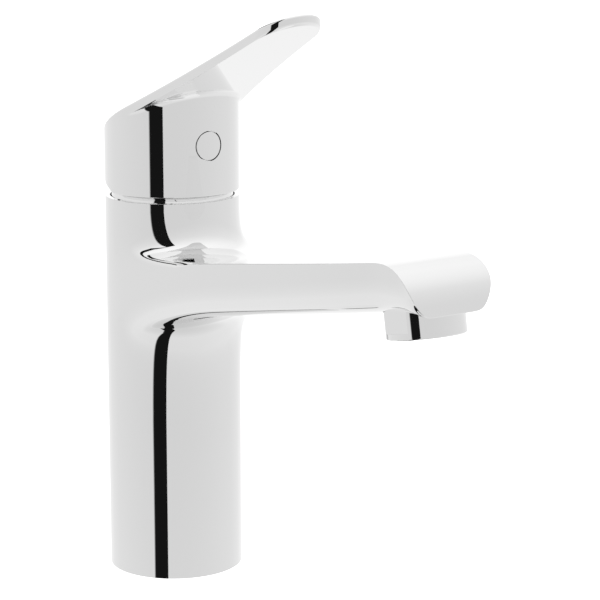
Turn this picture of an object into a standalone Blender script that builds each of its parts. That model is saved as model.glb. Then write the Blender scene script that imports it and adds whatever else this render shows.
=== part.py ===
"""Bathroom mixer faucet: a round column with a rising spout and a lever handle on top.

The origin is on the column's axis at the deck. +Z is up and the spout runs towards -Y.
Lengths are in metres. "Forward" below means towards the spout's tip.
"""

import math

import bmesh
import bpy
from mathutils import Matrix, Vector

# Clearances
GAP = 0.0003
RUNNING_GAP = 0.0004
EPS = 0.0010

# Cartridge: the column is as wide as this and the steps around it need
CARTRIDGE_RADIUS = 0.0174
CARTRIDGE_WALL = 0.0018
CARTRIDGE_PLAY = 0.0008
CARTRIDGE_BASE_THICKNESS = 0.0050
GASKET_INSET = 0.0029
GASKET_THICKNESS = 0.0010
FIXED_DISC_PLAY = 0.0006
DISC_TRAVEL_ROOM = 0.0037
DISC_THICKNESS = 0.0035
DISC_POCKET_DEPTH = 0.0019
CARRIER_FLAT_DEPTH = 0.0010
CARRIER_HEIGHT = 0.0057
GUIDE_THICKNESS = 0.0026
GUIDE_HALF_LENGTH = 0.0070
ROTOR_FLANGE_PLAY = 0.0008
ROTOR_FLANGE_THICKNESS = 0.0020
ROTOR_NECK_WALL = 0.0008
ROTOR_ABOVE_PIVOT = 0.0130
HOUSING_ROOF = 0.0024
HOUSING_ROOF_BELOW_PIVOT = 0.0030
HOUSING_NECK_WALL = 0.0020
HOUSING_NECK_ABOVE_PIVOT = 0.0090
LIMIT_RING_HEIGHT = 0.0027
PIVOT_BELOW_RIM = 0.0081
BALL_RADIUS = 0.0029
BALL_SINK = 0.0018
STEM_WIDTH = 0.0070
STEM_ROOF = 0.0010
STEM_SHAFT_RADIUS = 0.0023
SLOT_BACK_ROOM = 0.0036
SLOT_FRONT_ROOM = 0.0052
PIN_RADIUS = 0.0012
NUT_THREAD_DEPTH = 0.0011
NUT_THREAD_HEIGHT = 0.0050
NUT_THREAD_RUN_OUT = 0.0046
NUT_HEX_HEIGHT = 0.0052
NUT_HEX_STEP = 0.0005

# Ways for the water: the ports of the cartridge stand on one circle
PORT_RADIUS = 0.0030
PORT_CIRCLE_INSET = 0.0065
PORT_FORWARD = 0.0030
OUTLET_INSET = 0.0025
OUTLET_RUN_RADIUS = 0.0028
RING_SECTION = 0.0009

# Column
BODY_HEIGHT = 0.1301
COLUMN_SIDES = 16
COLUMN_WALL = 0.0039
RIM_WALL = 0.0018
COVER_STEP = 0.0019
SEAT_STEP = 0.0007

# Spout: each station is its share of the way out from the root, and of the taper still to come
SPOUT_REACH = 0.1368
SPOUT_ROOT = 0.0370
SPOUT_STATIONS = (
    (0.00, 1.00),
    (0.19, 0.84),
    (0.43, 0.72),
    (0.67, 0.56),
    (0.83, 0.33),
    (0.94, 0.08),
    (1.00, 0.00),
)
SPOUT_ROOT_INSET = 0.0004
SPOUT_TIP_MARGIN = 0.0040
SPOUT_BELOW_RIM = 0.0219
SPOUT_TOP_SLOPE = 0.155
SPOUT_DEPTH_AT_AXIS = 0.0198
SPOUT_UNDERSIDE_SLOPE = 0.184
SPOUT_LOWER_ROUND = 0.0080
SPOUT_WALL = 0.0026
VISOR_WALL = 0.0018
VISOR_LIP = 0.0010
VISOR_DROP = 0.0020
TOP_FILLET = 0.0140
UNDER_FILLET = 0.0100
WATERWAY_HALF_WIDTH = 0.0050
WATERWAY_FRONT_WALL = 0.0017

# Base
BLOCK_HEIGHT = 0.0450
HOSE_SOCKET_RADIUS = 0.0045
HOSE_SOCKET_DEPTH = 0.0120
STUD_SOCKET_RADIUS = 0.0034
STUD_SOCKET_DEPTH = 0.0180
STUD_BACK = 0.0105
BASE_SEAL_WIDTH = 0.0012
BASE_SEAL_HEIGHT = 0.0013

# Supply tubes and manifold
RISER_RADIUS = 0.0040
RISER_WALL = 0.0010
RISER_SOCKET_DEPTH = 0.0070
MANIFOLD_HEIGHT = 0.0155

# Cover between column and handle
COVER_ABOVE_PIVOT = 0.0155
COVER_WALL = 0.0016
COVER_RIM_THICKNESS = 0.0024

# Handle
SKIRT_ABOVE_RIM = 0.0019
SKIRT_WALL = 0.0021
SKIRT_DEPTH = 0.0110
SKIRT_LIFT_CLEARANCE = 0.00087
SKIRT_REAR_CUT_START = 0.0010
SKIRT_REAR_CUT_DEGREES = 17.0
LEVER_ABOVE_RIM = 0.0293
LEVER_SLOPE = 0.482
LEVER_THICKNESS = 0.0036
LEVER_SIDE_START = math.radians(14.6)
LEVER_SIDE_CURVE = 1.4
LEVER_TIP_CENTRE = 0.0654
SET_SCREW_ABOVE_CEILING = 0.0060
SET_SCREW_RADIUS = 0.0024
SET_SCREW_LENGTH = 0.0080
SET_SCREW_KEY_RADIUS = 0.0014
SET_SCREW_KEY_DEPTH = 0.0027
PLUG_RADIUS = 0.0048
PLUG_THICKNESS = 0.0030

# Aerator
AERATOR_THREAD_RADIUS = 0.0111
AERATOR_SLEEVE_STEP = 0.0011
AERATOR_BORE_DEPTH = 0.0057
AERATOR_LENGTH = 0.0080
AERATOR_FLAT_DEPTH = 0.0012
AERATOR_RIM = 0.0020
AERATOR_RIM_CHAMFER = 0.0004
AERATOR_WALL = 0.0009
AERATOR_LIP = 0.0010
AERATOR_RECESS = 0.0010
AERATOR_HOLES_AT = 0.6
WASHER_THICKNESS = 0.0011
SCREEN_THICKNESS = 0.0008
SCREEN_HOLE_RADIUS = 0.0014
INSERT_HOLE_RADIUS = 0.0020

# Cage: how far a fillet's corner is drawn in, and how the spout's columns spread across it
CORNER_PULL = 0.19
COLUMN_SPREAD = (0.0, 0.3, 0.58, 0.82, 1.0)
VISOR_SIDES = 12

# Fits that follow from the sizes above
SEAT_BORE_RADIUS = CARTRIDGE_RADIUS + CARTRIDGE_PLAY
NUT_BORE_RADIUS = SEAT_BORE_RADIUS + NUT_THREAD_DEPTH
COVER_BORE_RADIUS = NUT_BORE_RADIUS + COVER_STEP
BODY_RADIUS = COVER_BORE_RADIUS + RIM_WALL
LOWER_BORE_RADIUS = BODY_RADIUS - COLUMN_WALL
WAIST_BORE_RADIUS = SEAT_BORE_RADIUS - SEAT_STEP
BASE_SEAL_RADIUS = (BODY_RADIUS + LOWER_BORE_RADIUS) / 2
SPOUT_TOP_AT_AXIS = BODY_HEIGHT - SPOUT_BELOW_RIM
SPOUT_UNDERSIDE_AT_AXIS = SPOUT_TOP_AT_AXIS - SPOUT_DEPTH_AT_AXIS
PIVOT_HEIGHT = BODY_HEIGHT - PIVOT_BELOW_RIM
ROTOR_TOP = PIVOT_HEIGHT + ROTOR_ABOVE_PIVOT
HOUSING_NECK_TOP = PIVOT_HEIGHT + HOUSING_NECK_ABOVE_PIVOT
COVER_TOP = PIVOT_HEIGHT + COVER_ABOVE_PIVOT
CARTRIDGE_INNER = CARTRIDGE_RADIUS - CARTRIDGE_WALL
FIXED_DISC_RADIUS = CARTRIDGE_INNER - FIXED_DISC_PLAY
MOVING_DISC_RADIUS = FIXED_DISC_RADIUS - DISC_TRAVEL_ROOM
CARRIER_RADIUS = MOVING_DISC_RADIUS
CARRIER_FLAT = CARRIER_RADIUS - CARRIER_FLAT_DEPTH
ROTOR_NECK_RADIUS = STEM_WIDTH / 2 + GAP + SLOT_FRONT_ROOM + ROTOR_NECK_WALL
HOUSING_NECK_RADIUS = ROTOR_NECK_RADIUS + RUNNING_GAP + HOUSING_NECK_WALL
PORT_CIRCLE_RADIUS = FIXED_DISC_RADIUS - PORT_CIRCLE_INSET
PORT_OFFSET = math.sqrt(PORT_CIRCLE_RADIUS**2 - PORT_FORWARD**2)
OUTLET_BACK = PORT_CIRCLE_RADIUS - OUTLET_INSET
SKIRT_BOTTOM = BODY_HEIGHT + SKIRT_ABOVE_RIM
HANDLE_CEILING = SKIRT_BOTTOM + SKIRT_DEPTH
LEVER_TOP_AT_AXIS = BODY_HEIGHT + LEVER_ABOVE_RIM
SET_SCREW_HEIGHT = HANDLE_CEILING + SET_SCREW_ABOVE_CEILING
COVER_DOME_RADIUS = math.hypot(BODY_RADIUS - SKIRT_WALL, SKIRT_BOTTOM - PIVOT_HEIGHT) - SKIRT_LIFT_CLEARANCE
AERATOR_RADIUS = AERATOR_THREAD_RADIUS + AERATOR_SLEEVE_STEP
VISOR_LENGTH = AERATOR_RADIUS + VISOR_WALL

CHROME = ((0.90, 0.90, 0.91), 0.04, 1.0)
BRASS = ((0.78, 0.60, 0.32), 0.30, 1.0)
COPPER = ((0.80, 0.45, 0.32), 0.25, 1.0)
STEEL = ((0.62, 0.62, 0.64), 0.25, 1.0)
RUBBER = ((0.03, 0.03, 0.03), 0.70, 0.0)
WHITE_PLASTIC = ((0.86, 0.86, 0.84), 0.40, 0.0)
GREY_PLASTIC = ((0.35, 0.37, 0.40), 0.45, 0.0)
CERAMIC = ((0.92, 0.91, 0.88), 0.20, 0.0)


def point(side, forward, up):
    """A place given by its distance to the side, towards the tip, and above the deck."""
    return Vector((side, -forward, up))


def collection(name):
    made = bpy.data.collections.new(name)
    bpy.context.scene.collection.children.link(made)
    return made


def material(name, look):
    colour, roughness, metallic = look
    made = bpy.data.materials.new(name)
    made.use_nodes = True
    shader = made.node_tree.nodes["Principled BSDF"]
    shader.inputs["Base Color"].default_value = (*colour, 1.0)
    shader.inputs["Roughness"].default_value = roughness
    shader.inputs["Metallic"].default_value = metallic
    return made


def linked(name, mesh, look):
    """An object for a mesh: a named part, or a cutter when it has no look."""
    made = bpy.data.objects.new(name, mesh)
    if look:
        PARTS.objects.link(made)
        mesh.materials.append(material(name, look))
        return made
    CUTTERS.objects.link(made)
    made.hide_render = True
    made.display_type = "WIRE"
    return made


def new_object(name, bm, look=None):
    """The finished mesh as an object, with its normals outward."""
    mesh = bpy.data.meshes.new(name)
    bmesh.ops.recalc_face_normals(bm, faces=bm.faces)
    bm.to_mesh(mesh)
    bm.free()
    mesh.shade_smooth()
    mesh.set_sharp_from_angle(angle=math.radians(35.0))
    return linked(name, mesh, look)


def turned(name, profile, look=None, steps=32, closed=False, frame=Matrix()):
    """A shape turned about Z from (radius, height) points that run down its outer side."""
    mesh = bpy.data.meshes.new(name)
    points = [(radius, 0.0, height) for radius, height in profile]
    edges = [(index, index + 1) for index in range(len(points) - 1)]
    if closed:
        edges.append((len(points) - 1, 0))
    mesh.from_pydata(points, edges, [])
    made = linked(name, mesh, look)
    screw = made.modifiers.new("turn", "SCREW")
    screw.angle = math.tau
    screw.steps = steps
    screw.render_steps = steps
    screw.use_merge_vertices = True
    screw.merge_threshold = 0.00001
    made.matrix_world = frame
    return made


def ring_profile(outer, inner, low, high):
    return [(outer, high), (outer, low), (inner, low), (inner, high)]


def round_ring_profile(radius, section, height, sides=8):
    """A round cord's section, run clockwise so that the ring faces out."""
    turns = [-math.tau * index / sides for index in range(sides)]
    return [(radius + section * math.cos(turn), height + section * math.sin(turn)) for turn in turns]


def rod(name, radius, start, end, look=None, sides=16):
    """A straight cylinder between two places."""
    along = end - start
    turn = along.to_track_quat("Z", "Y").to_matrix().to_4x4()
    place = Matrix.Translation((start + end) / 2) @ turn
    bm = bmesh.new()
    bmesh.ops.create_cone(
        bm, cap_ends=True, segments=sides, radius1=radius, radius2=radius, depth=along.length, matrix=place
    )
    return new_object(name, bm, look)


def disc(name, radius, low, high, look=None, sides=32):
    """A plain cylinder about the column's axis."""
    return rod(name, radius, point(0, 0, low), point(0, 0, high), look, sides)


def block(name, low, high, look=None):
    """A box between two corners."""
    bm = bmesh.new()
    size = Matrix.Diagonal((*(high - low), 1.0))
    bmesh.ops.create_cube(bm, size=1.0, matrix=Matrix.Translation((low + high) / 2) @ size)
    return new_object(name, bm, look)


def boolean(target, tool, operation="DIFFERENCE"):
    step = target.modifiers.new(tool.name, "BOOLEAN")
    step.operation = operation
    step.object = tool
    return target


def cut(target, *tools):
    for tool in tools:
        boolean(target, tool)
    return target


def key(place):
    return tuple(round(value, 7) for value in place)


def extrude(bm, faces, moves, keep=False):
    """Pull a patch of faces out, move its points by the table of places, and return the new patch."""
    made = bmesh.ops.extrude_face_region(bm, geom=faces)["geom"]
    if not keep:
        bmesh.ops.delete(bm, geom=faces, context="FACES")
    for vert in (item for item in made if isinstance(item, bmesh.types.BMVert)):
        vert.co = moves[key(vert.co)]
    return [item for item in made if isinstance(item, bmesh.types.BMFace)]


def loft(sections):
    """A closed mesh through rings of equally many points, capped at both ends."""
    bm = bmesh.new()
    bmesh.ops.create_circle(bm, cap_ends=True, segments=len(sections[0]), radius=1.0)
    for vert, place in zip(list(bm.verts), sections[0]):
        vert.co = place
    patch = list(bm.faces)
    for before, after in zip(sections[:-1], sections[1:]):
        moves = {key(start): end for start, end in zip(before, after)}
        patch = extrude(bm, patch, moves, keep=before is sections[0])
    return bm


def spout_top(forward):
    return SPOUT_TOP_AT_AXIS + SPOUT_TOP_SLOPE * forward


def spout_underside(forward):
    return SPOUT_UNDERSIDE_AT_AXIS + SPOUT_UNDERSIDE_SLOPE * forward


def cage_radius(radius, sides):
    """How far out a cage's corners stand for its smoothed ring to have this radius."""
    return radius * 6.0 / (4.0 + 2.0 * math.cos(math.tau / sides))


def spout_stations():
    """Forward distance and half width of each station between the spout's root and the aerator."""
    root = BODY_RADIUS - SPOUT_ROOT_INSET
    tip = AERATOR_RADIUS + SPOUT_TIP_MARGIN
    return [
        (SPOUT_ROOT + (SPOUT_REACH - SPOUT_ROOT) * along, tip + (root - tip) * taper)
        for along, taper in SPOUT_STATIONS
    ]


def spout_sections():
    """Forward distance, half width and top of each section, with the visor's curve at the tip."""
    sections = [(forward, width, spout_top(forward)) for forward, width in spout_stations()]
    width = sections[-1][1]
    tip = SPOUT_REACH + VISOR_LENGTH
    lip = section_floor(tip) + VISOR_LIP
    drop = spout_top(SPOUT_REACH) - lip
    bulge = cage_radius(1.0, VISOR_SIDES)
    for turn in (math.tau / VISOR_SIDES, 2 * math.tau / VISOR_SIDES):
        forward = SPOUT_REACH + VISOR_LENGTH * math.sin(turn) * bulge
        sections.append((forward, width, lip + drop * math.cos(turn) * bulge))
    sections.append((tip, width, lip))
    return sections


def section_floor(forward):
    """The underside, with the visor's lip drawn down at the tip."""
    past = max(0.0, forward - SPOUT_REACH) / VISOR_LENGTH
    return spout_underside(forward) - VISOR_DROP * past**2


def section_width(width, height):
    """Half width of a section at a height above its underside, where the lower edges are round."""
    sunk = max(0.0, SPOUT_LOWER_ROUND - height)
    return width - SPOUT_LOWER_ROUND + math.sqrt(SPOUT_LOWER_ROUND**2 - sunk**2)


def section_point(column, row, section):
    """A cage point: column from -4 to 4 across, row 0 underneath, 1 on the side, 2 on top."""
    forward, width, top = section
    low = section_floor(forward)
    edge = math.copysign(1.0, column)
    if row == 2:
        across = COLUMN_SPREAD[abs(column)] * section_width(width, top - low)
        return point(edge * across, forward, top)
    height = min(SPOUT_LOWER_ROUND, (top - low) / 2)
    if row == 1:
        spread = 1.0 if abs(column) == 4 else COLUMN_SPREAD[abs(column)]
        return point(edge * spread * section_width(width, height), forward, low + height)
    corner = CORNER_PULL * SPOUT_LOWER_ROUND
    if abs(column) == 4:
        inset = min(corner, height / 2)
        return point(edge * (section_width(width, height) - inset), forward, low + inset)
    return point(edge * abs(column) / 3 * (width - SPOUT_LOWER_ROUND), forward, low)


def body_cage():
    """The column's sixteen-sided cage, with the spout pulled out of its front half.

    Each ring has a height at the axis and a slope that only its front half follows. The spout grows out
    between the rings ROOT_LOW and ROOT_TOP, which are drawn into the corners of its fillets.
    """
    under, top = SPOUT_UNDERSIDE_AT_AXIS, SPOUT_TOP_AT_AXIS
    rings = (
        (0.0, 0.0, 0.0),
        (under / 2, 0.0, 0.0),
        (under - UNDER_FILLET, SPOUT_UNDERSIDE_SLOPE, 0.0),
        (under - UNDER_FILLET * CORNER_PULL, SPOUT_UNDERSIDE_SLOPE, UNDER_FILLET * CORNER_PULL),
        (under + SPOUT_LOWER_ROUND, SPOUT_UNDERSIDE_SLOPE, 0.0),
        (top + TOP_FILLET * CORNER_PULL, SPOUT_TOP_SLOPE, TOP_FILLET * CORNER_PULL),
        (top + TOP_FILLET, SPOUT_TOP_SLOPE / 2, 0.0),
        (BODY_HEIGHT, 0.0, 0.0),
    )
    root_low, root_top = 3, 5
    reach = cage_radius(BODY_RADIUS, COLUMN_SIDES)
    step = math.tau / COLUMN_SIDES
    quarter = COLUMN_SIDES // 4
    columns = range(-quarter, COLUMN_SIDES - quarter)

    def ring_point(column, ring):
        height, slope, push = rings[ring]
        forward = reach * math.cos(column * step)
        ahead = max(0.0, forward)
        return point(reach * math.sin(column * step), forward + push * ahead / reach, height + slope * ahead)

    bm = loft([[ring_point(column, ring) for column in columns] for ring in range(len(rings))])
    tags = {}
    for row, ring in enumerate(range(root_low, root_top + 1)):
        for column in range(-quarter, quarter + 1):
            tags[key(ring_point(column, ring))] = (column, row)
    patch = [face for face in bm.faces if all(key(vert.co) in tags for vert in face.verts)]
    for section in spout_sections():
        moves = {place: section_point(*tag, section) for place, tag in tags.items()}
        patch = extrude(bm, patch, moves)
        tags = {key(moves[place]): tag for place, tag in tags.items()}
    crease_cage(bm, quarter)
    return bm


def crease_cage(bm, quarter):
    """Keep the rims of the column, the spout's top edges and the visor's lip sharp."""
    crease = bm.edges.layers.float.new("crease_edge")
    sections = spout_sections()
    lip = sections[-1]
    sharp = set()
    for side in (-quarter, quarter):
        places = [key(section_point(side, 2, section)) for section in sections]
        sharp.update(frozenset(pair) for pair in zip(places[:-1], places[1:]))
    places = [key(section_point(column, 2, lip)) for column in range(-quarter, quarter + 1)]
    sharp.update(frozenset(pair) for pair in zip(places[:-1], places[1:]))
    for edge in bm.edges:
        ends = [vert.co for vert in edge.verts]
        on_rim = any(all(abs(end.z - rim) < 0.00001 for end in ends) for rim in (0.0, BODY_HEIGHT))
        if on_rim or frozenset(key(end) for end in ends) in sharp:
            edge[crease] = 1.0


def spout_cavity():
    """The waterway inside the spout: from ahead of the cartridge to over the aerator."""
    chamfer = SPOUT_LOWER_ROUND - SPOUT_WALL
    back = SEAT_BORE_RADIUS + WATERWAY_FRONT_WALL
    stations = spout_stations()
    sections = []
    for forward, width in ((back, stations[0][1] - EPS), stations[2], stations[-2]):
        side = width - SPOUT_WALL
        low = spout_underside(forward) + SPOUT_WALL
        high = spout_top(forward) - SPOUT_WALL
        half = [(side - chamfer, low), (side, low + chamfer), (side, high)]
        ring = [point(across, forward, up) for across, up in half]
        ring += [point(-across, forward, up) for across, up in reversed(half)]
        sections.append(ring)
    return new_object("cut_spout_cavity", loft(sections))


def aerator_frame():
    """A frame at the middle of the aerator's seat on the spout's underside, +Z into the spout."""
    seat = point(0.0, SPOUT_REACH, spout_underside(SPOUT_REACH))
    return Matrix.Translation(seat) @ Matrix.Rotation(-math.atan(SPOUT_UNDERSIDE_SLOPE), 4, "X")


def faucet_body():
    """The cast column and spout, hollow for the supply tubes, the cartridge and the waterway."""
    body = new_object("faucet_body", body_cage(), CHROME)
    smooth = body.modifiers.new("smooth", "SUBSURF")
    smooth.levels = 1
    smooth.render_levels = 1
    seat_floor = manifold_heights()[0] - GAP
    nut_floor = stack()["roof"][0] - NUT_THREAD_RUN_OUT
    cover_floor = nut_heights()[1] + GAP
    bore = turned("cut_bore", [
        (0.0, BODY_HEIGHT + EPS),
        (COVER_BORE_RADIUS, BODY_HEIGHT + EPS),
        (COVER_BORE_RADIUS, cover_floor),
        (NUT_BORE_RADIUS, cover_floor),
        (NUT_BORE_RADIUS, nut_floor),
        (SEAT_BORE_RADIUS, nut_floor),
        (SEAT_BORE_RADIUS, seat_floor),
        (WAIST_BORE_RADIUS, seat_floor),
        (WAIST_BORE_RADIUS, BLOCK_HEIGHT + GAP),
        (LOWER_BORE_RADIUS, BLOCK_HEIGHT + GAP),
        (LOWER_BORE_RADIUS, -EPS),
        (0.0, -EPS),
    ])
    half_seal = BASE_SEAL_WIDTH / 2 + GAP
    groove = turned("cut_seal_groove", ring_profile(
        BASE_SEAL_RADIUS + half_seal, BASE_SEAL_RADIUS - half_seal, -EPS, BASE_SEAL_HEIGHT + GAP
    ), closed=True)
    passage_low = manifold_outlet_height() - PORT_RADIUS
    passage_high = spout_underside(BODY_RADIUS) + TOP_FILLET / 2
    passage = block(
        "cut_passage",
        point(-WATERWAY_HALF_WIDTH, BODY_RADIUS - WATERWAY_FRONT_WALL, passage_low),
        point(WATERWAY_HALF_WIDTH, WAIST_BORE_RADIUS - EPS, passage_high),
    )
    seat = aerator_frame()
    thread = AERATOR_THREAD_RADIUS + GAP
    recess = AERATOR_RADIUS + GAP
    outlet = turned("cut_aerator_bore", [
        (0.0, AERATOR_BORE_DEPTH),
        (thread, AERATOR_BORE_DEPTH),
        (thread, AERATOR_RECESS),
        (recess, AERATOR_RECESS),
        (recess, -AERATOR_LENGTH),
        (0.0, -AERATOR_LENGTH),
    ], frame=seat)
    return cut(body, spout_cavity(), passage, outlet, bore, groove)


def base_seal():
    """The ring that seals the column's foot on the deck."""
    half = BASE_SEAL_WIDTH / 2
    profile = ring_profile(BASE_SEAL_RADIUS + half, BASE_SEAL_RADIUS - half, 0.0, BASE_SEAL_HEIGHT)
    return turned("base_seal", profile, RUBBER, closed=True)


def supply_places():
    """Where the hot and cold ways stand: hot is on the user's left."""
    return {"hot": (-PORT_OFFSET, PORT_FORWARD), "cold": (PORT_OFFSET, PORT_FORWARD)}


def bore_cut(name, radius, place, low, high, sides=16):
    """An upright cutter at a place to the side and forward, between two heights."""
    return rod(f"cut_{name}", radius, point(*place, low), point(*place, high), sides=sides)


def inlet_block():
    """The block in the base: two hose sockets, two ways up to the risers, and the stud's socket."""
    radius = LOWER_BORE_RADIUS - GAP
    made = disc("inlet_block", radius, 0.0, BLOCK_HEIGHT, BRASS)
    top = BLOCK_HEIGHT + EPS
    seat_floor = BLOCK_HEIGHT - RISER_SOCKET_DEPTH
    for side, place in supply_places().items():
        socket = bore_cut(f"{side}_hose_socket", HOSE_SOCKET_RADIUS, place, -EPS, HOSE_SOCKET_DEPTH)
        way = bore_cut(f"{side}_way", PORT_RADIUS, place, HOSE_SOCKET_DEPTH - EPS, top)
        seat = bore_cut(f"{side}_riser_seat", RISER_RADIUS + GAP, place, seat_floor, top)
        cut(made, socket, way, seat)
    return cut(made, bore_cut("stud_socket", STUD_SOCKET_RADIUS, (0, -STUD_BACK), -EPS, STUD_SOCKET_DEPTH))


def risers():
    """The two tubes from the inlet block up to the manifold."""
    low = BLOCK_HEIGHT - RISER_SOCKET_DEPTH + GAP
    high = manifold_heights()[0] + RISER_SOCKET_DEPTH - GAP
    made = []
    for side, place in supply_places().items():
        profile = ring_profile(RISER_RADIUS, RISER_RADIUS - RISER_WALL, low, high)
        frame = Matrix.Translation(point(*place, 0.0))
        made.append(turned(f"{side}_riser", profile, COPPER, steps=16, closed=True, frame=frame))
    return made


def manifold_heights():
    """The manifold stands just under the cartridge."""
    high = stack()["base"][0] - GAP
    return high - MANIFOLD_HEIGHT, high


def manifold_outlet_height():
    return sum(manifold_heights()) / 2


def manifold():
    """The cartridge's seat: hot and cold pass straight up, mixed water leaves at the front."""
    low, high = manifold_heights()
    radius = SEAT_BORE_RADIUS - GAP
    floor = radius - 2 * RING_SECTION - GAP
    half = RING_SECTION + GAP
    profile = [(0.0, high), (radius, high)]
    for height in reversed(manifold_seal_heights().values()):
        over, under = height + half, height - half
        profile += [(radius, over), (floor, over), (floor, under), (radius, under)]
    profile += [(radius, low), (0.0, low)]
    made = turned("manifold", profile, BRASS, frame=Matrix.Rotation(math.pi / 32, 4, "Z"))
    seat_top = low + RISER_SOCKET_DEPTH
    for side, place in supply_places().items():
        way = bore_cut(f"{side}_port", PORT_RADIUS, place, low - EPS, high + EPS)
        seat = bore_cut(f"{side}_riser_socket", RISER_RADIUS + GAP, place, low - EPS, seat_top)
        cut(made, way, seat)
    height = manifold_outlet_height()
    drop = bore_cut("outlet_drop", PORT_RADIUS, (0, -OUTLET_BACK), height, high + EPS)
    turn = point(0, -OUTLET_BACK, height)
    run = rod("cut_outlet_run", OUTLET_RUN_RADIUS, turn, point(0, radius + EPS, height))
    return cut(made, drop, run)


def manifold_seal_heights():
    """The rings in the manifold's grooves, under and over its outlet."""
    reach = PORT_RADIUS + RING_SECTION + EPS
    height = manifold_outlet_height()
    return {"manifold_seal_lower": height - reach, "manifold_seal_upper": height + reach}


def manifold_seals():
    radius = SEAT_BORE_RADIUS - GAP - RING_SECTION
    return [
        turned(name, round_ring_profile(radius, RING_SECTION, height, 6), RUBBER, steps=24, closed=True)
        for name, height in manifold_seal_heights().items()
    ]


def ports():
    """The three ways through the cartridge's lower plates: name to side and forward distance."""
    return {**supply_places(), "outlet": (0.0, -OUTLET_BACK)}


def drill_ports(target, radius, low, high):
    for side, place in ports().items():
        cut(target, bore_cut(f"{target.name}_{side}", radius, place, low - EPS, high + EPS, sides=12))
    return target


def stack():
    """Heights of the cartridge's layers, from its roof down, a gap apart: name to low and high."""
    heights = {}
    level = PIVOT_HEIGHT - HOUSING_ROOF_BELOW_PIVOT
    layers = (
        ("roof", HOUSING_ROOF),
        ("flange", ROTOR_FLANGE_THICKNESS),
        ("carrier", CARRIER_HEIGHT),
        ("moving", DISC_THICKNESS),
        ("fixed", DISC_THICKNESS),
        ("gasket", GASKET_THICKNESS),
        ("base", CARTRIDGE_BASE_THICKNESS),
    )
    for name, thickness in layers:
        heights[name] = (level - thickness, level)
        level -= thickness + GAP
    return heights


def ball_height():
    """The stem's ball sits just under the carrier's top."""
    return stack()["carrier"][1] - BALL_SINK


def nut_heights():
    """The nut's underside, the top of its thread and the top of its hexagon."""
    low = stack()["roof"][1] + GAP
    return low, low + NUT_THREAD_HEIGHT, low + NUT_THREAD_HEIGHT + NUT_HEX_HEIGHT


def seat_seals():
    """A round ring about each port, in the cartridge's underside."""
    low = stack()["base"][0]
    made = []
    for side, place in ports().items():
        middle = GAP + RING_SECTION
        profile = round_ring_profile(PORT_RADIUS + middle, RING_SECTION, low + middle, 6)
        frame = Matrix.Translation(point(*place, 0.0))
        made.append(turned(f"seat_seal_{side}", profile, RUBBER, steps=16, closed=True, frame=frame))
    return made


def cartridge_base():
    low, high = stack()["base"]
    made = disc("cartridge_base", CARTRIDGE_RADIUS, low, high, WHITE_PLASTIC)
    depth = 2 * (RING_SECTION + GAP)
    for side, place in ports().items():
        cut(made, bore_cut(f"{side}_seal_seat", PORT_RADIUS + depth, place, low - EPS, low + depth))
    return drill_ports(made, PORT_RADIUS, low, high)


def disc_gasket():
    low, high = stack()["gasket"]
    made = disc("disc_gasket", CARTRIDGE_RADIUS - GASKET_INSET, low, high, RUBBER)
    return drill_ports(made, PORT_RADIUS, low, high)


def fixed_disc():
    low, high = stack()["fixed"]
    made = disc("fixed_disc", FIXED_DISC_RADIUS, low, high, CERAMIC)
    return drill_ports(made, PORT_RADIUS, low, high)


def moving_disc():
    """The sliding ceramic disc, whose blind T-shaped pocket joins inlets and outlet when it moves forward."""
    low, high = stack()["moving"]
    made = disc("moving_disc", MOVING_DISC_RADIUS, low, high, CERAMIC)
    floor = low - EPS
    top = low + DISC_POCKET_DEPTH
    front = PORT_FORWARD - PORT_RADIUS - EPS
    back = -OUTLET_BACK
    bar = block("cut_pocket_bar", point(-PORT_OFFSET, front, floor), point(PORT_OFFSET, back, top))
    start = point(-PORT_RADIUS, back + EPS, floor)
    return cut(made, bar, block("cut_pocket_stem", start, point(PORT_RADIUS, back - PORT_RADIUS, top)))


def disc_carrier():
    """The slider on the moving disc, with flats that the rotor guides and a socket for the stem's ball."""
    low, high = stack()["carrier"]
    made = disc("disc_carrier", CARRIER_RADIUS, low, high, GREY_PLASTIC)
    socket_floor = ball_height() - BALL_RADIUS - GAP
    socket = bore_cut("ball_socket", BALL_RADIUS + RUNNING_GAP, (0, 0), socket_floor, high + EPS)
    reach = CARRIER_RADIUS + EPS
    left = block("cut_left_flat", point(-reach, reach, low - EPS), point(-CARRIER_FLAT, -reach, high + EPS))
    right = block("cut_right_flat", point(CARRIER_FLAT, reach, low - EPS), point(reach, -reach, high + EPS))
    return cut(made, socket, left, right)


def cartridge_housing():
    """The cartridge's shell: round wall, roof and neck."""
    bottom = stack()["gasket"][0]
    roof_low, roof_high = stack()["roof"]
    neck = ROTOR_NECK_RADIUS + RUNNING_GAP
    return turned("cartridge_housing", [
        (HOUSING_NECK_RADIUS, HOUSING_NECK_TOP),
        (HOUSING_NECK_RADIUS, roof_high),
        (CARTRIDGE_RADIUS, roof_high),
        (CARTRIDGE_RADIUS, bottom),
        (CARTRIDGE_INNER, bottom),
        (CARTRIDGE_INNER, roof_low),
        (neck, roof_low),
        (neck, HOUSING_NECK_TOP),
    ], WHITE_PLASTIC, closed=True)


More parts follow.
